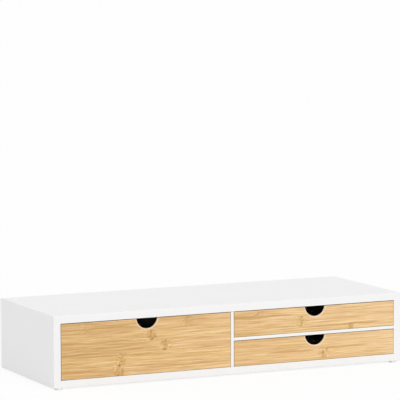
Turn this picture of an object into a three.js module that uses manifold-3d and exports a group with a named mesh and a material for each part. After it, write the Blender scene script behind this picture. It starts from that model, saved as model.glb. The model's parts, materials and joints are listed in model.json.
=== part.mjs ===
// A monitor stand: a long, low case of white lacquered boards that holds three drawers with bamboo fronts.
// One tall drawer fills the left bay, and two shallow ones lie above each other in the right bay.
// Millimetres, +Z up. The origin is on the desk, under the middle of the case, and the drawers open towards -Y.

import * as THREE from "three";
import Module from "manifold-3d";
import { mergeVertices } from "three/addons/utils/BufferGeometryUtils.js";

const wasm = await Module();
wasm.setup();

// Case
const caseWidth = 600;
const caseDepth = 225;
const caseHeight = 111;
const boardThickness = 12;
const edgeRadius = 1.5;
const edgeSteps = 6;
const dividerThickness = 5;
const shelfThickness = 5;
const grooveDepth = 4;
const shelfGrooveDepth = 2;
const grooveStop = 10;

// Splines across the mitred corners
const splineWidth = 8;
const splineThickness = 3;
const splineStop = 15;

// Back panel, in a rebate round the rear
const backThickness = 3;
const rebateWidth = 7;

// Feet, the front ones close behind the case's front edge
const footRadius = 6;
const footHeight = 2.5;
const footEdge = 0.5;
const footSides = 24;
const frontFootInset = { side: 10, end: 7.5 };
const backFootInset = { side: 13, end: 13 };

// Drawers. A front lies a little low and to the right in its opening.
const frontThickness = 9;
const frontGap = { left: 1, right: 0.5, below: 0.5, above: 1 };
const frontRecess = 0.5;
const notchRadius = 17.5;
const notchRise = 2;
const notchBevel = 1.2;
const notchLip = 2;
const notchSides = 72;
const drawerBoard = 9;
const boxGap = 1.5;
const wallDrop = 8;
const bottomThickness = 3;
const bottomLift = 4;
const bottomGrooveDepth = 4;

// Clearances
const glueGap = 0.1;
const fitGap = 0.15;
const runningGap = 0.3;
const stopGap = 0.5;
const overrun = 2;

// Dowels and countersunk screws
const dowel = { radius: 2.5, length: 18, bevel: 0.8, inFront: 5.5 };
const dowelSides = 16;
const drawerScrew = {
  radius: 1.5, length: 25, headRadius: 3, headHeight: 1.8, tip: 4, crossWidth: 0.8, crossDepth: 1, sink: 0.2,
};
const backScrew = {
  radius: 1.25, length: 14, headRadius: 2.4, headHeight: 1.5, tip: 3, crossWidth: 0.6, crossDepth: 0.9, sink: 0.2,
};
const screwSides = 16;

// Places, as shares of what they follow: the opening's width and height, a drawer wall's height, a screw head
const levelScrewShares = [0.05, 0.35, 0.65, 0.95];
const uprightScrewShares = [0.25, 0.75];
const pairShare = 0.5;
const crossLengthShare = 0.6;

// Sizes that follow from the ones above
const caseFloor = footHeight;
const caseTop = caseFloor + caseHeight;
const caseMiddle = caseFloor + caseHeight / 2;
const caseFront = -caseDepth / 2;
const caseBack = caseDepth / 2;
const bayFloor = caseFloor + boardThickness;
const bayTop = caseTop - boardThickness;
const bayHeight = bayTop - bayFloor;
const innerHalf = caseWidth / 2 - boardThickness;
const bayWidth = innerHalf - dividerThickness / 2;
const bayCentre = (innerHalf + dividerThickness / 2) / 2;
const shallowHeight = (bayHeight - shelfThickness) / 2;
const shelfFloor = bayFloor + shallowHeight;
const backFace = caseBack - backThickness;
const panelRear = backFace - fitGap;
const tongueFront = caseFront + grooveStop;

// Materials
const lacquer = new THREE.MeshStandardMaterial({ color: 0xf3f3f2, roughness: 0.42, metalness: 0 });
const bamboo = new THREE.MeshStandardMaterial({ color: 0xe5bb80, roughness: 0.5, metalness: 0 });
const boxBoard = new THREE.MeshStandardMaterial({ color: 0xeeeeec, roughness: 0.5, metalness: 0 });
const hardboard = new THREE.MeshStandardMaterial({ color: 0xe9e8e4, roughness: 0.6, metalness: 0 });
const beech = new THREE.MeshStandardMaterial({ color: 0xd9b88a, roughness: 0.7, metalness: 0 });
const zinc = new THREE.MeshStandardMaterial({ color: 0xb9bcc0, roughness: 0.35, metalness: 1 });
const padFelt = new THREE.MeshStandardMaterial({ color: 0xeeeeec, roughness: 0.9, metalness: 0 });

const stand = new THREE.Group();
const sides = [["left", -1], ["right", 1]];

// Solids and cuts

function solidOf(geometry) {
  const bare = geometry.clone();
  bare.deleteAttribute("normal");
  bare.deleteAttribute("uv");
  const merged = mergeVertices(bare);
  const triVerts = new Uint32Array(merged.index.array);
  const vertProperties = merged.getAttribute("position").array;
  return new wasm.Manifold(new wasm.Mesh({ numProp: 3, vertProperties, triVerts }));
}

function geometryOf(solid) {
  const mesh = solid.getMesh();
  const geometry = new THREE.BufferGeometry();
  geometry.setAttribute("position", new THREE.BufferAttribute(mesh.vertProperties, 3));
  geometry.setIndex(new THREE.BufferAttribute(mesh.triVerts, 1));
  geometry.computeVertexNormals();
  return geometry;
}

// Cuts each tool out of the piece, where they stand in the group that they share.
function carve(piece, tools) {
  piece.updateMatrix();
  const intoPiece = piece.matrix.clone().invert();
  let solid = solidOf(piece.geometry);
  for (const tool of tools) {
    tool.updateMatrix();
    const move = new THREE.Matrix4().multiplyMatrices(intoPiece, tool.matrix);
    solid = solid.subtract(solidOf(tool.geometry.clone().applyMatrix4(move)));
  }
  piece.geometry = geometryOf(solid);
}

function commonPart(geometries) {
  const [first, ...others] = geometries.map(solidOf);
  return geometryOf(others.reduce((whole, next) => whole.intersect(next), first));
}

// A mesh that fills the box between two corners.
function block(low, high, material) {
  const size = high.map((value, axis) => value - low[axis]);
  const mesh = new THREE.Mesh(new THREE.BoxGeometry(...size), material);
  mesh.position.set(...low.map((value, axis) => value + size[axis] / 2));
  return mesh;
}

// The room for a block, with a gap all round it.
function room(piece, gap) {
  const { width, height, depth } = piece.geometry.parameters;
  const space = new THREE.Mesh(new THREE.BoxGeometry(width + 2 * gap, height + 2 * gap, depth + 2 * gap));
  space.position.copy(piece.position);
  space.quaternion.copy(piece.quaternion);
  return space;
}

function outlineOf(points) {
  return new THREE.Shape(points.map(([across, up]) => new THREE.Vector2(across, up)));
}

// An outline drawn out to both sides of its plane.
function prism(outline, length) {
  const geometry = new THREE.ExtrudeGeometry(outline, { depth: length, bevelEnabled: false });
  return geometry.translate(0, 0, -length / 2);
}

// Turns an outline drawn in X and Y to face the front, with its Y upwards.
function faceFront(geometry) {
  return geometry.rotateX(Math.PI / 2);
}

// Turns an outline drawn in X and Y to face the right, with its X towards the back and its Y upwards.
function faceRight(geometry) {
  return faceFront(geometry).rotateZ(Math.PI / 2);
}

function add(name, mesh, group = stand) {
  mesh.name = name;
  group.add(mesh);
  return mesh;
}

// Case boards, mitred along their four shared corners and rounded along their outer edges

function roundedRectangle(width, height) {
  const corners = [[-1, -1, Math.PI], [1, -1, 1.5 * Math.PI], [1, 1, 0], [-1, 1, 0.5 * Math.PI]];
  const points = [];
  for (const [alongX, alongY, startAngle] of corners) {
    const centreX = alongX * (width / 2 - edgeRadius);
    const centreY = alongY * (height / 2 - edgeRadius);
    for (let step = 0; step <= edgeSteps; step++) {
      const angle = startAngle + (step / edgeSteps) * (Math.PI / 2);
      points.push([centreX + edgeRadius * Math.cos(angle), centreY + edgeRadius * Math.sin(angle)]);
    }
  }
  return outlineOf(points);
}

function roundedCase() {
  return commonPart([
    faceFront(prism(roundedRectangle(caseWidth, caseHeight), caseDepth)),
    faceRight(prism(roundedRectangle(caseDepth, caseHeight), caseWidth)),
    prism(roundedRectangle(caseWidth, caseDepth), caseHeight),
  ]);
}

// The space of one board, with its outer face on top: length and height are those of the case as it then lies.
function mitredSpace(length, height) {
  const end = length / 2 - glueGap;
  const face = height / 2;
  return prism(outlineOf([
    [-end - overrun, face + overrun],
    [-end + boardThickness, face - boardThickness],
    [end - boardThickness, face - boardThickness],
    [end + overrun, face + overrun],
  ]), caseDepth + 2 * overrun);
}

// A board of the case, turned a number of quarters from the top.
function caseBoard(quarters) {
  const level = quarters % 2 === 0;
  const space = level ? mitredSpace(caseWidth, caseHeight) : mitredSpace(caseHeight, caseWidth);
  const turned = faceFront(space).rotateY((quarters * Math.PI) / 2);
  const board = new THREE.Mesh(commonPart([roundedCase(), turned]), lacquer);
  board.position.z = caseMiddle;
  return board;
}

const boards = {
  top: add("top_panel", caseBoard(0)),
  right: add("right_side_panel", caseBoard(1)),
  bottom: add("bottom_panel", caseBoard(2)),
  left: add("left_side_panel", caseBoard(3)),
};

// A spline lies across each mitre, hidden short of the front and the back.
const splineLength = caseDepth - 2 * splineStop;
for (const [level, levelSign, levelBoard] of [["lower", -1, boards.bottom], ["upper", 1, boards.top]]) {
  for (const [side, sideSign] of sides) {
    const spline = new THREE.Mesh(new THREE.BoxGeometry(splineWidth, splineLength, splineThickness), beech);
    spline.position.x = (sideSign * (caseWidth - boardThickness)) / 2;
    spline.position.z = caseMiddle + (levelSign * (caseHeight - boardThickness)) / 2;
    spline.rotation.y = (levelSign * sideSign * Math.PI) / 4;
    add(`mitre_spline_${side}_${level}`, spline);
    carve(levelBoard, [room(spline, fitGap)]);
    carve(boards[side], [room(spline, fitGap)]);
  }
}

// Divider between the bays, with a tongue above and below that stops short of the front

const dividerOutline = outlineOf([
  [caseFront, bayFloor + glueGap],
  [tongueFront + fitGap, bayFloor + glueGap],
  [tongueFront + fitGap, bayFloor - grooveDepth + fitGap],
  [panelRear, bayFloor - grooveDepth + fitGap],
  [panelRear, bayTop + grooveDepth - fitGap],
  [tongueFront + fitGap, bayTop + grooveDepth - fitGap],
  [tongueFront + fitGap, bayTop - glueGap],
  [caseFront, bayTop - glueGap],
]);
const divider = add("centre_divider", new THREE.Mesh(faceRight(prism(dividerOutline, dividerThickness)), lacquer));
const dividerGroove = block(
  [-dividerThickness / 2 - fitGap, tongueFront, bayFloor - grooveDepth],
  [dividerThickness / 2 + fitGap, caseBack + overrun, bayTop + grooveDepth],
);
carve(boards.top, [dividerGroove]);
carve(boards.bottom, [dividerGroove]);

// Shelf between the shallow drawers, let into the divider and the right side

const shelfLeft = dividerThickness / 2;
const shelfOutline = outlineOf([
  [shelfLeft + glueGap, caseFront],
  [innerHalf - glueGap, caseFront],
  [innerHalf - glueGap, tongueFront + fitGap],
  [innerHalf + grooveDepth - fitGap, tongueFront + fitGap],
  [innerHalf + grooveDepth - fitGap, panelRear],
  [shelfLeft - shelfGrooveDepth + fitGap, panelRear],
  [shelfLeft - shelfGrooveDepth + fitGap, tongueFront + fitGap],
  [shelfLeft + glueGap, tongueFront + fitGap],
]);
const shelf = add("middle_shelf", new THREE.Mesh(prism(shelfOutline, shelfThickness), lacquer));
shelf.position.z = shelfFloor + shelfThickness / 2;
const shelfGroove = block(
  [shelfLeft - shelfGrooveDepth, tongueFront, shelfFloor - fitGap],
  [innerHalf + grooveDepth, caseBack + overrun, shelfFloor + shelfThickness + fitGap],
);
carve(divider, [shelfGroove]);
carve(boards.right, [shelfGroove]);

// Dowels and screws, each on its own Z axis

function lathed(profile, turns) {
  const points = profile.map(([radius, height]) => new THREE.Vector2(radius, height));
  return new THREE.LatheGeometry(points, turns).rotateX(Math.PI / 2);
}

function dowelGeometry(gap) {
  const half = dowel.length / 2 + gap;
  const wall = dowel.radius + gap;
  return lathed([
    [0, -half],
    [wall - dowel.bevel, -half],
    [wall, dowel.bevel - half],
    [wall, half - dowel.bevel],
    [wall - dowel.bevel, half],
    [0, half],
  ], dowelSides);
}

// A screw's outline from its point up to its head, whose face is at height zero.
function screwOutline({ radius, length, headRadius, headHeight, tip }, gap) {
  return [
    [0, -length - gap],
    [radius + gap, tip - length],
    [radius + gap, -headHeight],
    [headRadius + gap, 0],
  ];
}

function screwGeometry(size) {
  const screw = new THREE.Mesh(lathed([...screwOutline(size, 0), [0, 0]], screwSides));
  const reach = size.headRadius * crossLengthShare;
  const half = size.crossWidth / 2;
  carve(screw, [
    block([-reach, -half, -size.crossDepth], [reach, half, overrun]),
    block([-half, -reach, -size.crossDepth], [half, reach, overrun]),
  ]);
  return screw.geometry;
}

// The hole for a screw, which runs on out past the head.
function screwHole(size) {
  const mouth = size.sink + overrun;
  const outline = [...screwOutline(size, fitGap), [size.headRadius + fitGap, mouth], [0, mouth]];
  return new THREE.Mesh(lathed(outline, screwSides));
}

// Puts a fastener at a place, with its Z axis along a direction.
function aimed(mesh, place, direction) {
  mesh.position.set(...place);
  mesh.quaternion.setFromUnitVectors(new THREE.Vector3(0, 0, 1), new THREE.Vector3(...direction));
  return mesh;
}

function addScrew(name, size, place, direction, through, group) {
  add(name, aimed(new THREE.Mesh(screwGeometry(size), zinc), place, direction), group);
  for (const board of through) {
    carve(board, [aimed(screwHole(size), place, direction)]);
  }
}

// Back panel, screwed into a rebate round the rear of the case

const backPanel = add("back_panel", block(
  [fitGap - innerHalf - rebateWidth, backFace, bayFloor - rebateWidth + fitGap],
  [innerHalf + rebateWidth - fitGap, caseBack, bayTop + rebateWidth - fitGap],
  lacquer,
));
const rebate = block(
  [-innerHalf - rebateWidth, backFace, bayFloor - rebateWidth],
  [innerHalf + rebateWidth, caseBack + overrun, bayTop + rebateWidth],
);
for (const board of Object.values(boards)) {
  carve(board, [rebate]);
}

function addBackScrew(edge, number, x, z) {
  const place = [x, caseBack - backScrew.sink, z];
  addScrew(`back_screw_${edge}_${number}`, backScrew, place, [0, 1, 0], [backPanel, boards[edge]]);
}

for (const [edge, z] of [["bottom", bayFloor - rebateWidth / 2], ["top", bayTop + rebateWidth / 2]]) {
  levelScrewShares.forEach((share, place) => {
    addBackScrew(edge, place + 1, (2 * share - 1) * innerHalf, z);
  });
}
for (const [side, sideSign] of sides) {
  uprightScrewShares.forEach((share, place) => {
    addBackScrew(side, place + 1, sideSign * (innerHalf + rebateWidth / 2), bayFloor + share * bayHeight);
  });
}

// Feet, round pads stuck under the corners

const footProfile = [
  [0, 0],
  [footRadius - footEdge, 0],
  [footRadius, footEdge],
  [footRadius, footHeight],
  [0, footHeight],
];
for (const [side, sideSign] of sides) {
  for (const [end, endSign, inset] of [["front", -1, frontFootInset], ["back", 1, backFootInset]]) {
    const foot = add(`foot_${side}_${end}`, new THREE.Mesh(lathed(footProfile, footSides), padFelt));
    foot.position.x = sideSign * (caseWidth / 2 - inset.side);
    foot.position.y = endSign * (caseDepth / 2 - inset.end);
  }
}

// Drawers, each in a group of its own, with its origin on its bay's floor in the middle of the opening

// The cut for a finger notch, which starts from a front face at height zero. The rim is bevelled, and behind a thin
// lip the notch opens out for the fingertips.
function notchCut() {
  return new THREE.Mesh(lathed([
    [0, -overrun],
    [notchRadius + notchBevel + overrun, -overrun],
    [notchRadius, notchBevel],
    [notchRadius, notchLip],
    [notchRadius + frontThickness - notchLip + overrun, frontThickness + overrun],
    [0, frontThickness + overrun],
  ], notchSides));
}

function addDrawer(name, bayX, floorZ, openingHeight, pairs) {
  const drawer = new THREE.Group();
  drawer.position.set(bayX, caseFront, floorZ);
  stand.add(drawer);

  const frontRear = frontRecess + frontThickness;
  const frontTop = openingHeight - frontGap.above;
  const frontMiddle = (frontGap.left - frontGap.right) / 2;
  const wallOuter = bayWidth / 2 - boxGap;
  const wallInner = wallOuter - drawerBoard;
  const wallTop = frontTop - wallDrop;
  const boxRear = caseDepth - backThickness - stopGap;
  const bottomLow = runningGap + bottomLift;
  const wallBase = bottomLow + bottomThickness + glueGap;

  const front = add(`${name}_front`, block(
    [frontGap.left - bayWidth / 2, frontRecess, frontGap.below],
    [bayWidth / 2 - frontGap.right, frontRear, frontTop],
    bamboo,
  ), drawer);
  carve(front, [aimed(notchCut(), [frontMiddle, frontRecess, frontTop + notchRise], [0, 1, 0])]);

  const bottomHalf = wallInner + bottomGrooveDepth - fitGap;
  const bottom = add(`${name}_bottom`, block(
    [-bottomHalf, frontRear - bottomGrooveDepth + fitGap, bottomLow],
    [bottomHalf, boxRear, bottomLow + bottomThickness],
    hardboard,
  ), drawer);
  const bottomGroove = room(bottom, fitGap);
  carve(front, [bottomGroove]);

  const back = add(`${name}_back`, block(
    [glueGap - wallInner, boxRear - drawerBoard, wallBase],
    [wallInner - glueGap, boxRear, wallTop],
    boxBoard,
  ), drawer);

  for (const [side, sideSign] of sides) {
    const outer = sideSign * wallOuter;
    const inner = sideSign * wallInner;
    const wall = add(`${name}_${side}_wall`, block(
      [Math.min(outer, inner), frontRear + glueGap, runningGap],
      [Math.max(outer, inner), boxRear, wallTop],
      boxBoard,
    ), drawer);
    carve(wall, [bottomGroove]);

    for (const [suffix, level] of pairs) {
      const z = (wallBase + wallTop) / 2 + (level * pairShare * (wallTop - wallBase)) / 2;

      const dowelPlace = [(outer + inner) / 2, frontRear - dowel.inFront + dowel.length / 2, z];
      const pin = aimed(new THREE.Mesh(dowelGeometry(0), beech), dowelPlace, [0, 1, 0]);
      add(`${name}_dowel_${side}${suffix}`, pin, drawer);
      const pinHole = aimed(new THREE.Mesh(dowelGeometry(fitGap)), dowelPlace, [0, 1, 0]);
      carve(front, [pinHole]);
      carve(wall, [pinHole]);

      const screwPlace = [outer - sideSign * drawerScrew.sink, boxRear - drawerBoard / 2, z];
      const screwName = `${name}_screw_${side}${suffix}`;
      addScrew(screwName, drawerScrew, screwPlace, [sideSign, 0, 0], [wall, back], drawer);
    }
  }
}

addDrawer("tall_drawer", -bayCentre, bayFloor, bayHeight, [["_lower", -1], ["_upper", 1]]);
addDrawer("upper_drawer", bayCentre, shelfFloor + shelfThickness, shallowHeight, [["", 0]]);
addDrawer("lower_drawer", bayCentre, bayFloor, shallowHeight, [["", 0]]);

export default stand;
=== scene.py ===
import json
import math

import bmesh
import bpy
from mathutils import Euler, Matrix, Vector


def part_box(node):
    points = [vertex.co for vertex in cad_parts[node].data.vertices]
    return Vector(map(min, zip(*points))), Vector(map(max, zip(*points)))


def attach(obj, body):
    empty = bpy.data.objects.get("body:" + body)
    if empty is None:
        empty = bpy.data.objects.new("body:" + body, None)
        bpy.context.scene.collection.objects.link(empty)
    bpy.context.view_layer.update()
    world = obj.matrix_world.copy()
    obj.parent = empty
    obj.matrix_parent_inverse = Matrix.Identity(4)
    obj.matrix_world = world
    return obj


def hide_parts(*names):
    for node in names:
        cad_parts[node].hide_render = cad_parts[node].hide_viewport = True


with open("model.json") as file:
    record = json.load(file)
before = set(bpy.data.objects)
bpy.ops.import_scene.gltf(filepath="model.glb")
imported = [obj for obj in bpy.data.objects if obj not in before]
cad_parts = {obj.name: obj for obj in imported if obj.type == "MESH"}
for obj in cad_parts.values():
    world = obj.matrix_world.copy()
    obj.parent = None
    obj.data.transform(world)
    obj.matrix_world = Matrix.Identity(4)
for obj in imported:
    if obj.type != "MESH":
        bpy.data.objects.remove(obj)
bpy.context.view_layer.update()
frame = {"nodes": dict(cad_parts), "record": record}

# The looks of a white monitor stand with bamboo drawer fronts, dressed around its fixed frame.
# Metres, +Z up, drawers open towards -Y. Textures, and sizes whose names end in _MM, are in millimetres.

MM = 0.001
QUARTER_TURN = math.radians(90)
WHITE = (1, 1, 1, 1)
# Places of x and z in a point
X = 0
Z = 2

CASE_BOARDS = (
    "top_panel", "bottom_panel", "left_side_panel", "right_side_panel", "centre_divider", "middle_shelf",
)
DRAWERS = ("tall_drawer", "upper_drawer", "lower_drawer")
SIDES = ("left", "right")
ENDS = ("front", "back")

# Widths of the rounded edges
BOARD_EDGE = 0.5 * MM
BAMBOO_EDGE = 0.4 * MM
BOX_EDGE = 0.6 * MM
THIN_EDGE = 0.25 * MM
SCREW_EDGE = 0.12 * MM
EDGE_STEPS = 3
ROUND_PROFILE = 0.5
# An edge is sharp from this angle on
SHARP_FROM = math.radians(40)
# Shorter edges of the boards, such as those of small holes, aren't rounded
SHORTEST_ROUNDED = 2.5 * MM
# Before the rounding, points this close and faces this nearly level with each other are joined
SAME_POINT = 0.001 * MM
SAME_PLANE = math.radians(0.5)
# On the fronts, edges shorter than this are drawn together as well
BAMBOO_CRUMB = 0.4 * MM
# A face is square to an axis from this share of its normal along it
SQUARE_FROM = 0.999

# Mitres of the case: how far their slope may be off, and how far the boards reach into the glue gap
MITRE_TOLERANCE = 0.02
MITRE_FILL = 0.08 * MM

# Finger notches: their radius, how far their centre lies above the top of the front, and the pale ring
# painted round them as a highlight of their rounded rim
NOTCH_RADIUS_MM = 17.5
NOTCH_RISE_MM = 2
NOTCH_RIM_HIGHLIGHT_MM = 1.2
NOTCH_RIM_HIGHLIGHT_FADE_MM = 1.8

# Bamboo: the height of a strip, half the width of a glue line, and how far strips are shifted at most
STRIP_MM = 17.1
SEAM_MM = 0.22
STRIP_SHIFT_MM = 900
# The distance put between a point and the growth nodes of other strips, so that they don't show there
FAR_MM = 1000
# The length over which a long dark streak fades at either end
STREAK_FADE_MM = 25
# How strongly the hue shows, and how much of it goes by strip, the rest going by fibre
HUE_SHARE = 0.8
STRIP_HUE_SHARE = 0.35
# Colours of the bamboo from its darkest tone, 0, to its lightest, 1
BAMBOO_COLOURS = [
    (0, (192, 149, 88)),
    (0.3, (214, 174, 117)),
    (0.55, (231, 194, 141)),
    (0.8, (242, 209, 161)),
    (1, (249, 222, 179)),
]
# The three fronts. Their strips are counted from 0 up, and the first starts at the z called strips_from.
# The tone is that of the middle, and rises to the right by tone_rise in each metre. The grain is how
# strongly the fibres show. A growth node has a strip, an x and a strength. A dark streak has the x of both
# ends, and a z.
FRONTS = {
    "tall_drawer": {
        "strips_from": 15,
        "seed": 15.5,
        "tone": 0.44,
        "tone_rise": 0.75,
        "grain": 1,
        "growth_nodes": [
            (0, -193, 1.4), (1, -188, 1.2), (2, -114, 1.3), (3, -137, 1.2), (4, -244, 0.3), (4, -77, 0.5),
        ],
        "dark_streaks": [
            (-310, -185, 90), (-310, -160, 68.5), (-310, -220, 26), (-160, 10, 25), (-100, -30, 93.5),
            (-185, -120, 46),
        ],
    },
    "upper_drawer": {
        "strips_from": 52.5,
        "seed": 53,
        "tone": 0.58,
        "tone_rise": 0.5,
        "grain": 1.1,
        "growth_nodes": [(0, 211, 1.3), (1, 121, 0.8), (2, 47, 0.45)],
        "dark_streaks": [(-20, 118, 90), (118, 268, 69), (-10, 60, 64)],
    },
    "lower_drawer": {
        "strips_from": 0.5,
        "seed": 1,
        "tone": 0.57,
        "tone_rise": 0.8,
        "grain": 0.8,
        "growth_nodes": [(1, 162, 1.3)],
        "dark_streaks": [(150, 248, 33), (50, 150, 31)],
    },
}

# Hardboard: how fast the waves of its pressed screen turn, in radians per millimetre
SCREEN_TURNS = 4.2

# Felt pads: faces round them, and the rounding of the lower rim, which bulges a little past the upper one
FOOT_TURNS = 64
FOOT_EDGE_STEPS = 5
FOOT_CORNER_SHARE = 0.35
FOOT_SWELL = 0.25 * MM

# Camera, at the photograph's place
CAMERA_PLACE = Vector((-1.6961, -3.6052, 0.6631))
CAMERA_TURN = math.radians(-25.166)
CAMERA_DIP = math.radians(5.689)
CAMERA_ROLL = math.radians(-0.202)
CAMERA_LENS_MM = 226.67
CAMERA_SENSOR_MM = 36

# Floor and light. The camera sees the floor as plain white by this share, and otherwise as it is lit.
FLOOR_SIZE = 120
FLOOR_COLOUR = (250, 250, 250)
FLOOR_OWN_LIGHT = 0.9
SKY_STRENGTH = 0.755
KEY_STRENGTH = 0.805
KEY_FROM = (math.radians(50.5), 0, math.radians(10))
FILL_STRENGTH = 0.1
FILL_FROM = (math.radians(50), 0, math.radians(-75))
SUN_SOFTNESS = math.radians(50)

# A Mix node has sockets for every kind of value. These are the factor's and those of the colours.
MIX_FACTOR = 0
MIX_FIRST = 6
MIX_SECOND = 7
MIX_RESULT = 2


# Node trees

def empty_tree(owner):
    """The node tree of a material or a world, with no nodes in it."""
    owner.use_nodes = True
    owner.node_tree.nodes.clear()
    return owner.node_tree


def srgb(red, green, blue):
    """A colour written as on screen, from 0 to 255."""
    def linear(value):
        share = value / 255
        return share / 12.92 if share <= 0.04045 else ((share + 0.055) / 1.055) ** 2.4
    return (linear(red), linear(green), linear(blue), 1)


class Graph:
    """A material's node tree. Every input is a number, a tuple or another node's output."""

    def __init__(self, name):
        self.material = bpy.data.materials.new(name)
        self.tree = empty_tree(self.material)
        coordinates = self.node("ShaderNodeTexCoord").outputs
        self.place = self.stretched(coordinates["Object"], 1 / MM, 1 / MM, 1 / MM)
        self.x, self.y, self.z = self.node("ShaderNodeSeparateXYZ", {"Vector": self.place}).outputs
        self.facing = coordinates["Normal"]

    def node(self, kind, inputs=None, **settings):
        made = self.tree.nodes.new(kind)
        for key, value in settings.items():
            setattr(made, key, value)
        for key, value in (inputs or {}).items():
            self.feed(made.inputs[key], value)
        return made

    def feed(self, socket, value):
        if isinstance(value, bpy.types.NodeSocket):
            self.tree.links.new(value, socket)
        else:
            socket.default_value = value

    def math(self, operation, *values):
        return self.node("ShaderNodeMath", dict(enumerate(values)), operation=operation).outputs[0]

    def plus(self, first, second):
        return self.math("ADD", first, second)

    def minus(self, first, second):
        return self.math("SUBTRACT", first, second)

    def times(self, first, second):
        return self.math("MULTIPLY", first, second)

    def gap(self, value, place):
        """How far a value is from a place, to either side."""
        return self.math("ABSOLUTE", self.minus(value, place))

    def above(self, value, low, high):
        """0 up to low, 1 from high on, and smooth between."""
        inputs = {"Value": value, "From Min": low, "From Max": high}
        return self.node("ShaderNodeMapRange", inputs, interpolation_type="SMOOTHSTEP").outputs[0]

    def near(self, distance, full, reach):
        """1 up to full, 0 from reach on, and smooth between."""
        return self.above(distance, low=reach, high=full)

    def spread(self, value, amount, middle=0):
        """A noise value moved to run about amount each way from the middle."""
        return self.math("MULTIPLY_ADD", self.minus(value, 0.5), 2 * amount, middle)

    def combine(self, x, y, z):
        return self.node("ShaderNodeCombineXYZ", {"X": x, "Y": y, "Z": z}).outputs[0]

    def stretched(self, vector, x, y, z):
        return self.node("ShaderNodeVectorMath", {0: vector, 1: (x, y, z)}, operation="MULTIPLY").outputs[0]

    def length(self, vector):
        return self.node("ShaderNodeVectorMath", {0: vector}, operation="LENGTH").outputs["Value"]

    def noise(self, vector, scale, detail=2, roughness=0.5):
        """Smooth noise from 0 to 1, with features of about 1 / scale millimetres."""
        inputs = {"Vector": vector, "Scale": scale, "Detail": detail, "Roughness": roughness}
        return self.node("ShaderNodeTexNoise", inputs).outputs[0]

    def mix(self, factor, first, second, blend="MIX"):
        mixed = self.node("ShaderNodeMix", data_type="RGBA", blend_type=blend)
        self.feed(mixed.inputs[MIX_FACTOR], factor)
        self.feed(mixed.inputs[MIX_FIRST], first)
        self.feed(mixed.inputs[MIX_SECOND], second)
        return mixed.outputs[MIX_RESULT]

    def tinted(self, colour, cover, tint, share):
        """The colour with a tint over it, by the share where cover is 1, and not at all where it is 0."""
        return self.mix(self.times(cover, share), colour, tint)

    def ramp(self, factor, stops):
        made = self.node("ShaderNodeValToRGB", {"Fac": factor})
        elements = made.color_ramp.elements
        while len(elements) < len(stops):
            elements.new(1)
        for element, (position, colour) in zip(elements, stops):
            element.position = position
            element.color = srgb(*colour)
        return made.outputs[0]

    def edge(self):
        """1 on roundings and slanting faces, and 0 on faces square to an axis."""
        return self.node("ShaderNodeAttribute", attribute_name="edge").outputs["Fac"]

    def worn(self, scale, low, high):
        """Specks of wear on the edges."""
        speckle = self.noise(self.place, scale, detail=4, roughness=0.7)
        return self.times(self.edge(), self.above(speckle, low, high))

    def finish(self, colour, roughness, height, depth, **constants):
        """Joins colour, roughness and bump height to a shader. Depth is the bump's size in metres."""
        bump = self.node("ShaderNodeBump", {"Height": height, "Strength": 1, "Distance": depth})
        shader = self.node("ShaderNodeBsdfPrincipled", {
            "Base Color": colour,
            "Roughness": roughness,
            "Normal": bump.outputs[0],
            **constants,
        })
        self.node("ShaderNodeOutputMaterial", {"Surface": shader.outputs[0]})
        return self.material


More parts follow.
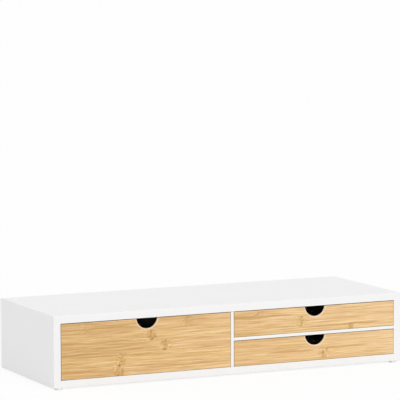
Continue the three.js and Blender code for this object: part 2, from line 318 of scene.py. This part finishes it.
class Bamboo(Graph):
    """The node tree of a front: level strips with long fibres, and growth nodes across some of them."""

    def __init__(self, drawer):
        super().__init__(f"bamboo_{drawer}")
        self.front = FRONTS[drawer]
        low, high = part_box(f"{drawer}_front")
        self.middle = (low.x + high.x) / 2 / MM
        self.top = high.z / MM
        self.lay_strips()
        self.find_growth_nodes()
        self.bend_fibres()

    def lay_strips(self):
        """Counts the strips, and draws a value, a colour and a shift for each."""
        self.strip_place = self.math("DIVIDE", self.minus(self.z, self.front["strips_from"]), STRIP_MM)
        self.strip = self.math("FLOOR", self.strip_place)
        seed = self.plus(self.strip, self.front["seed"])
        self.draw = self.node("ShaderNodeTexWhiteNoise", {"W": seed}, noise_dimensions="1D").outputs
        self.shift = self.times(self.draw["Value"], STRIP_SHIFT_MM)

    def find_growth_nodes(self):
        """Finds the nearest growth node of the strip and its strength. The nodes waver across the strip."""
        waver = self.noise(self.combine(self.shift, 0, self.z), scale=0.13)
        along = self.plus(self.x, self.spread(waver, amount=5))
        self.nearest = FAR_MM
        self.strength = 0
        for strip, x, strength in self.front["growth_nodes"]:
            distance = self.math("MULTIPLY_ADD", self.gap(self.strip, strip), FAR_MM, self.gap(along, x))
            self.nearest = self.math("MINIMUM", self.nearest, distance)
            here = self.times(self.near(distance, full=30, reach=40), strength)
            self.strength = self.math("MAXIMUM", self.strength, here)

    def bend_fibres(self):
        """Works out each point's place along and across the fibres, which swirl near the growth nodes."""
        within_strip = self.combine(self.x, self.shift, self.z)
        self.mottle = self.noise(within_strip, scale=0.26, detail=3, roughness=0.6)
        self.swirl = self.noise(within_strip, scale=0.13)
        bend = self.times(self.near(self.nearest, full=2, reach=26), self.spread(self.swirl, amount=3.4))
        drift = self.noise(self.combine(self.x, self.shift, 0), scale=0.012)
        self.fibre_x = self.plus(self.x, self.shift)
        self.fibre_z = self.plus(self.z, self.plus(bend, self.spread(drift, amount=0.7)))

    def fibres(self, length, thickness, detail=1):
        """Noise that is drawn out along the fibres."""
        place = self.combine(
            self.math("DIVIDE", self.fibre_x, length),
            self.math("DIVIDE", self.y, thickness),
            self.math("DIVIDE", self.fibre_z, thickness),
        )
        return self.noise(place, scale=1, detail=detail)

    def tone(self, streaks, strands):
        """How light the wood is, by fibres of many sizes, strip by strip, and mottled at the growth nodes."""
        patterns = [
            (streaks, 0.45),
            (self.fibres(length=190, thickness=1), 0.45),
            (self.fibres(length=90, thickness=0.8), 0.55),
            (strands, 0.45),
            (self.fibres(length=22, thickness=0.24), 0.35),
            (self.draw["Value"], 0.05),
        ]
        rise = self.front["tone_rise"] * MM
        tone = self.math("MULTIPLY_ADD", self.minus(self.x, self.middle), rise, self.front["tone"])
        for pattern, amount in patterns:
            tone = self.plus(tone, self.spread(pattern, amount * self.front["grain"]))
        mottled = self.times(self.near(self.nearest, full=5, reach=11), self.strength)
        return self.plus(tone, self.times(mottled, self.spread(self.mottle, amount=1.1, middle=-0.1)))

    def warmed(self, colour):
        """The colour, made a little greener or redder by strip and by fibre."""
        by_strip = self.node("ShaderNodeSeparateColor", {"Color": self.draw["Color"]}).outputs["Green"]
        by_fibre = self.above(self.fibres(length=40, thickness=3.2), low=0.3, high=0.7)
        hue = self.plus(self.times(by_strip, STRIP_HUE_SHARE), self.times(by_fibre, 1 - STRIP_HUE_SHARE))
        warmth = self.mix(hue, srgb(254, 255, 229), srgb(255, 247, 252))
        return self.mix(HUE_SHARE, colour, warmth, blend="MULTIPLY")

    def dark_streaks(self, streaks):
        """Where the wood is darker, in thin broken streaks all over and in a few long ones."""
        broken = self.above(self.fibres(length=60, thickness=1.5), low=0.6, high=0.72)
        wander = self.spread(self.noise(self.combine(self.x, 0, 0), scale=0.03, detail=1), amount=1.6)
        strength = self.spread(streaks, amount=-0.7, middle=0.8)
        dark = self.times(broken, 0.5)
        for start, end, z in self.front["dark_streaks"]:
            half = (end - start) / 2
            lengthways = self.near(self.gap(self.x, start + half), full=half - STREAK_FADE_MM, reach=half)
            across = self.near(self.gap(self.plus(self.z, wander), z), full=0.3, reach=1.9)
            dark = self.math("MAXIMUM", dark, self.times(self.times(lengthways, across), strength))
        return dark

    def with_growth_nodes(self, colour):
        """The colour, with an ochre blot and short brown ticks in the middle of each growth node."""
        blot = self.near(self.nearest, full=2, reach=7)
        blot = self.times(blot, self.above(self.swirl, low=0.42, high=0.6))
        ticks = self.near(self.nearest, full=1, reach=2.6)
        ticks = self.times(ticks, self.near(self.mottle, full=0.42, reach=0.5))
        colour = self.tinted(colour, self.times(blot, self.strength), srgb(204, 158, 88), share=0.55)
        return self.tinted(colour, self.times(ticks, self.strength), srgb(160, 112, 56), share=0.6)

    def seam(self):
        """1 in the middle of a glue line between strips, falling to 0 at its sides."""
        across = self.math("FRACT", self.strip_place)
        distance = self.times(self.math("MINIMUM", across, self.minus(1, across)), STRIP_MM)
        return self.math("MAXIMUM", self.minus(1, self.math("DIVIDE", distance, SEAM_MM)), 0)

    def paler_edges_and_rim_highlight(self):
        """Where the wood is painted paler: a little on the roundings and slanting faces, and most of all in a
        ring round the notch, a painted highlight of its rim.
        """
        sideways = self.minus(self.x, self.middle)
        upwards = self.minus(self.z, self.top + NOTCH_RISE_MM)
        distance = self.length(self.combine(sideways, 0, upwards))
        highlight_end = NOTCH_RADIUS_MM + NOTCH_RIM_HIGHLIGHT_MM
        # The ring round the notch is a painted highlight of its rounded rim
        rim = self.near(distance, full=highlight_end, reach=highlight_end + NOTCH_RIM_HIGHLIGHT_FADE_MM)
        return self.math("MAXIMUM", self.times(self.edge(), 0.15), self.times(rim, 0.55))


# Materials

def lacquer_material():
    """Satin white lacquer, faintly uneven, with an orange-peel skin and edges that show a little wear."""
    graph = Graph("white_lacquer")
    cloud = graph.noise(graph.place, scale=0.02, detail=3)
    peel = graph.noise(graph.place, scale=1.4)
    smudge = graph.noise(graph.stretched(graph.place, 1, 1, 2), scale=0.035, detail=4, roughness=0.6)
    worn = graph.worn(scale=0.6, low=0.62, high=0.8)
    colour = graph.mix(cloud, srgb(241, 241, 241), srgb(244, 244, 244))
    colour = graph.tinted(colour, worn, srgb(222, 219, 212), share=0.35)
    roughness = graph.spread(smudge, amount=0.07, middle=0.4)
    height = graph.minus(peel, graph.times(worn, 2))
    return graph.finish(colour, roughness, height, depth=0.015 * MM)


def bamboo_material(drawer):
    """Side-pressed bamboo under a satin clear varnish."""
    graph = Bamboo(drawer)
    streaks = graph.fibres(length=70, thickness=1.3)
    strands = graph.fibres(length=30, thickness=0.6, detail=2)
    dashes = graph.above(graph.fibres(length=8, thickness=0.36), low=0.6, high=0.76)
    seam = graph.seam()
    colour = graph.warmed(graph.ramp(graph.tone(streaks, strands), BAMBOO_COLOURS))
    colour = graph.mix(graph.dark_streaks(streaks), colour, srgb(198, 153, 84))
    colour = graph.tinted(colour, dashes, srgb(178, 130, 74), share=0.35)
    colour = graph.with_growth_nodes(colour)
    colour = graph.tinted(colour, seam, srgb(170, 124, 70), share=0.3)
    # Painted highlight: a pale ring round the notch stands in for light on its rounded rim, and the roundings
    # are made a little paler too
    colour = graph.mix(graph.paler_edges_and_rim_highlight(), colour, srgb(250, 232, 202))
    roughness = graph.plus(graph.spread(strands, amount=0.1, middle=0.46), graph.times(dashes, 0.08))
    height = graph.minus(graph.minus(strands, graph.times(dashes, 0.6)), seam)
    return graph.finish(colour, roughness, height, depth=0.04 * MM)


def coated_board_material():
    """Fibreboard with a thin matt white coat, which shows a rolled texture and is worn along the edges."""
    graph = Graph("drawer_board")
    rolled = graph.noise(graph.place, scale=0.9, detail=3, roughness=0.65)
    cloud = graph.noise(graph.place, scale=0.03, detail=3)
    worn = graph.worn(scale=0.4, low=0.5, high=0.75)
    colour = graph.mix(cloud, srgb(236, 236, 233), srgb(241, 241, 239))
    colour = graph.tinted(colour, worn, srgb(186, 160, 126), share=0.6)
    return graph.finish(colour, graph.spread(rolled, amount=0.1, middle=0.6), rolled, depth=0.03 * MM)


def hardboard_material():
    """Thin hardboard: painted white above, brown with a pressed screen pattern below."""
    graph = Graph("hardboard")
    upwards = graph.node("ShaderNodeSeparateXYZ", {"Vector": graph.facing}).outputs["Z"]
    painted = graph.above(upwards, low=0.3, high=0.5)
    fibres = graph.noise(graph.stretched(graph.place, 0.5, 1.2, 1), scale=0.8, detail=5, roughness=0.7)
    cloud = graph.noise(graph.place, scale=0.04, detail=3)
    brown = graph.mix(fibres, srgb(120, 84, 54), srgb(168, 128, 88))
    white = graph.mix(cloud, srgb(235, 235, 232), srgb(240, 240, 238))
    colour = graph.mix(painted, brown, white)
    threads = [graph.math("SINE", graph.times(way, SCREEN_TURNS)) for way in (graph.x, graph.y)]
    screen = graph.times(graph.minus(1, painted), graph.times(*threads))
    height = graph.plus(graph.times(screen, 1.5), graph.times(fibres, 0.6))
    return graph.finish(colour, graph.spread(fibres, amount=0.12, middle=0.62), height, depth=0.06 * MM)


def beech_material():
    """Bare beech with short flecks."""
    graph = Graph("beech")
    place = graph.stretched(graph.place, 1, 0.12, 1)
    grain = graph.noise(place, scale=1.1, detail=4, roughness=0.6)
    flecks = graph.above(graph.noise(place, scale=3.5, detail=1), low=0.62, high=0.75)
    colour = graph.mix(grain, srgb(202, 160, 112), srgb(226, 190, 144))
    colour = graph.tinted(colour, flecks, srgb(160, 112, 70), share=0.5)
    return graph.finish(colour, graph.spread(grain, amount=0.1, middle=0.65), grain, depth=0.03 * MM)


def zinc_material():
    """Bright zinc plating with a fine cloudy grain."""
    graph = Graph("zinc_screw")
    cloud = graph.noise(graph.place, scale=0.9, detail=3, roughness=0.6)
    grain = graph.noise(graph.place, scale=9)
    colour = graph.mix(cloud, srgb(176, 180, 186), srgb(206, 207, 206))
    roughness = graph.spread(grain, amount=0.1, middle=0.34)
    return graph.finish(colour, roughness, grain, depth=0.01 * MM, Metallic=1)


def felt_material():
    """Pressed pale felt with loose fibres."""
    graph = Graph("felt_pad")
    fuzz = graph.noise(graph.place, scale=2.6, detail=5, roughness=0.75)
    hairs = graph.noise(graph.stretched(graph.place, 1, 3, 1), scale=1.5, detail=4, roughness=0.7)
    colour = graph.mix(hairs, srgb(238, 238, 237), srgb(252, 252, 251))
    sheen = {"Sheen Weight": 0.3, "Sheen Roughness": 0.6}
    return graph.finish(colour, graph.spread(fuzz, amount=0.06, middle=0.92), fuzz, depth=0.1 * MM, **sheen)


LACQUER = lacquer_material()
COATED_BOARD = coated_board_material()
HARDBOARD = hardboard_material()
BEECH = beech_material()
ZINC = zinc_material()
FELT = felt_material()


# Making a piece

def placed(name, data):
    """A new object in the scene."""
    made = bpy.data.objects.new(name, data)
    bpy.context.scene.collection.objects.link(made)
    return made


def body_of(node):
    return next((drawer for drawer in DRAWERS if node.startswith(drawer)), "case")


def slot_of(node):
    return next(part["material_slot"] for part in frame["record"]["subparts"] if part["node"] == node)


def shaded(edit, node, material):
    """An object for the edited mesh, shaded smoothly over its roundings, in the place of a node."""
    edit.normal_update()
    slanting = edit.faces.layers.float.new("edge")
    for face in edit.faces:
        face.smooth = True
        face[slanting] = float(max(abs(part) for part in face.normal) < SQUARE_FROM)
    for edge in edit.edges:
        edge.smooth = len(edge.link_faces) == 2 and edge.calc_face_angle() < SHARP_FROM
    name = f"{node}_shape"
    mesh = bpy.data.meshes.new(name)
    edit.to_mesh(mesh)
    edit.free()
    mesh.materials.append(material)
    made = placed(name, mesh)
    made.modifiers.new("even shading", "WEIGHTED_NORMAL").keep_sharp = True
    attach(made, body_of(node))
    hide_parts(node)
    return made


def mitred(face):
    """Whether a face is one of the slanting ends where two case boards meet."""
    even = abs(abs(face.normal.x) - abs(face.normal.z)) < MITRE_TOLERANCE
    return even and abs(face.normal.y) < MITRE_TOLERANCE


def fill_mitres(edit, node):
    """Lengthens a board at its mitred ends, so that a hairline is left of the gap there."""
    low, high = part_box(node)
    along = X if high.x - low.x > high.z - low.z else Z
    middle = (low[along] + high[along]) / 2
    for vertex in {vertex for face in edit.faces if mitred(face) for vertex in face.verts}:
        vertex.co[along] += math.copysign(MITRE_FILL, vertex.co[along] - middle)


def edges_to_round(edit, shortest):
    """The sharp edges longer than the shortest, apart from those of mitres."""
    return [
        edge for edge in edit.edges
        if len(edge.link_faces) == 2 and edge.calc_face_angle() > SHARP_FROM and edge.calc_length() > shortest
        and not any(mitred(face) for face in edge.link_faces)
    ]


def dressed(node, material, width, shortest=SHORTEST_ROUNDED, crumb=0):
    """A copy of a node with rounded edges. Those under a crumb would spoil that, and are drawn together."""
    edit = bmesh.new()
    edit.from_mesh(frame["nodes"][node].data)
    bmesh.ops.remove_doubles(edit, verts=edit.verts, dist=SAME_POINT)
    bmesh.ops.dissolve_limit(edit, angle_limit=SAME_PLANE, verts=edit.verts, edges=edit.edges)
    crumbs = [edge for edge in edit.edges if edge.calc_length() < crumb]
    bmesh.ops.collapse(edit, edges=crumbs, uvs=False)
    fill_mitres(edit, node)
    sharp = edges_to_round(edit, shortest)
    bmesh.ops.bevel(edit, geom=sharp, offset=width, offset_type="OFFSET", segments=EDGE_STEPS,
                    profile=ROUND_PROFILE, affect="EDGES", clamp_overlap=False)
    bmesh.ops.recalc_face_normals(edit, faces=edit.faces)
    return shaded(edit, node, material)


def pad_outline(radius, bottom, top):
    """Points of a pad's outline, as reach and z, from the middle of its underside to that of its top."""
    corner = (top - bottom) * FOOT_CORNER_SHARE
    points = [(0, bottom)]
    for step in range(FOOT_EDGE_STEPS + 1):
        angle = QUARTER_TURN * step / FOOT_EDGE_STEPS
        reach = radius - corner + corner * math.sin(angle)
        points.append((reach, bottom + corner - corner * math.cos(angle)))
    return points + [(radius - FOOT_SWELL, top), (0, top)]


def felt_pad(node):
    """A round pad whose lower rim is rounded and bulges a little."""
    low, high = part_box(node)
    centre = (low + high) / 2
    edit = bmesh.new()
    rings = []
    for reach, z in pad_outline((high.x - low.x) / 2, low.z, high.z):
        turns = FOOT_TURNS if reach else 1
        rings.append([
            edit.verts.new((centre.x + reach * math.cos(turn), centre.y + reach * math.sin(turn), z))
            for turn in (math.tau * number / FOOT_TURNS for number in range(turns))
        ])
    for inner, outer in zip(rings, rings[1:]):
        for number in range(FOOT_TURNS):
            following = (number + 1) % FOOT_TURNS
            corners = [
                inner[number % len(inner)],
                inner[following % len(inner)],
                outer[following % len(outer)],
                outer[number % len(outer)],
            ]
            edit.faces.new(list(dict.fromkeys(corners)))
    bmesh.ops.recalc_face_normals(edit, faces=edit.faces)
    return shaded(edit, node, FELT)


# Sub-parts

def make_case():
    for board in CASE_BOARDS:
        dressed(board, LACQUER, BOARD_EDGE)
    dressed("back_panel", LACQUER, THIN_EDGE)


def make_drawer(drawer):
    dressed(f"{drawer}_front", bamboo_material(drawer), BAMBOO_EDGE, crumb=BAMBOO_CRUMB)
    dressed(f"{drawer}_back", COATED_BOARD, BOX_EDGE)
    dressed(f"{drawer}_bottom", HARDBOARD, THIN_EDGE)
    for side in SIDES:
        dressed(f"{drawer}_{side}_wall", COATED_BOARD, BOX_EDGE)


def make_fasteners():
    """Rounds the screws. The beech pins and splines, which the boards hide, only get their material."""
    for node, carried in frame["nodes"].items():
        if "screw" in node:
            dressed(node, ZINC, SCREW_EDGE, shortest=0)
        elif slot_of(node) == "beech":
            carried.data.materials.clear()
            carried.data.materials.append(BEECH)


def make_feet():
    for side in SIDES:
        for end in ENDS:
            felt_pad(f"foot_{side}_{end}")


# Floor, light and camera

def background_mix(tree, lit, plain, share):
    """Shows the plain shader to the camera and to reflections, by a share, and otherwise the lit one."""
    ray = tree.nodes.new("ShaderNodeLightPath")
    seen = ray.outputs["Is Camera Ray"]
    for kind in ("Is Glossy Ray", "Is Transmission Ray"):
        total = tree.nodes.new("ShaderNodeMath")
        total.operation = "MAXIMUM"
        tree.links.new(seen, total.inputs[0])
        tree.links.new(ray.outputs[kind], total.inputs[1])
        seen = total.outputs[0]
    factor = tree.nodes.new("ShaderNodeMath")
    factor.operation = "MULTIPLY"
    tree.links.new(seen, factor.inputs[0])
    factor.inputs[1].default_value = share
    mixed = tree.nodes.new("ShaderNodeMixShader")
    tree.links.new(factor.outputs[0], mixed.inputs[0])
    tree.links.new(lit, mixed.inputs[1])
    tree.links.new(plain, mixed.inputs[2])
    return mixed.outputs[0]


def floor_material():
    """Pale paper that shows shadows, and glows enough to look white."""
    material = bpy.data.materials.new("floor")
    tree = empty_tree(material)
    paper = tree.nodes.new("ShaderNodeBsdfDiffuse")
    paper.inputs["Color"].default_value = srgb(*FLOOR_COLOUR)
    glow = tree.nodes.new("ShaderNodeEmission")
    output = tree.nodes.new("ShaderNodeOutputMaterial")
    surface = background_mix(tree, paper.outputs[0], glow.outputs[0], FLOOR_OWN_LIGHT)
    tree.links.new(surface, output.inputs["Surface"])
    return material


def make_floor():
    half = FLOOR_SIZE / 2
    corners = [(-half, -half, 0), (half, -half, 0), (half, half, 0), (-half, half, 0)]
    mesh = bpy.data.meshes.new("floor")
    mesh.from_pydata(corners, [], [(0, 1, 2, 3)])
    mesh.materials.append(floor_material())
    floor = placed("floor", mesh)


def make_world():
    """An even white sky that lights the stand, and shows as plain white itself."""
    world = bpy.data.worlds.new("studio")
    tree = empty_tree(world)
    sky = tree.nodes.new("ShaderNodeBackground")
    sky.inputs["Strength"].default_value = SKY_STRENGTH
    plain = tree.nodes.new("ShaderNodeBackground")
    for background in (sky, plain):
        background.inputs["Color"].default_value = WHITE
    output = tree.nodes.new("ShaderNodeOutputWorld")
    surface = background_mix(tree, sky.outputs[0], plain.outputs[0], 1)
    tree.links.new(surface, output.inputs["Surface"])
    bpy.context.scene.world = world


def make_sun(name, strength, turn):
    light = bpy.data.lights.new(name, "SUN")
    light.energy = strength
    light.angle = SUN_SOFTNESS
    placed(name, light).rotation_euler = Euler(turn)


def make_camera():
    camera = bpy.data.cameras.new("camera")
    camera.lens = CAMERA_LENS_MM
    camera.sensor_width = CAMERA_SENSOR_MM
    camera.clip_end = 2 * FLOOR_SIZE
    turn = Euler((QUARTER_TURN - CAMERA_DIP, 0, CAMERA_TURN)).to_matrix()
    roll = Matrix.Rotation(CAMERA_ROLL, 3, "Z")
    holder = placed("camera", camera)
    holder.matrix_world = Matrix.Translation(CAMERA_PLACE) @ (turn @ roll).to_4x4()
    bpy.context.scene.camera = holder


make_case()
for drawer in DRAWERS:
    make_drawer(drawer)
make_fasteners()
make_feet()

make_floor()
make_world()
make_sun("key", KEY_STRENGTH, KEY_FROM)
make_sun("fill", FILL_STRENGTH, FILL_FROM)
make_camera()
bpy.context.scene.view_settings.view_transform = "Standard"
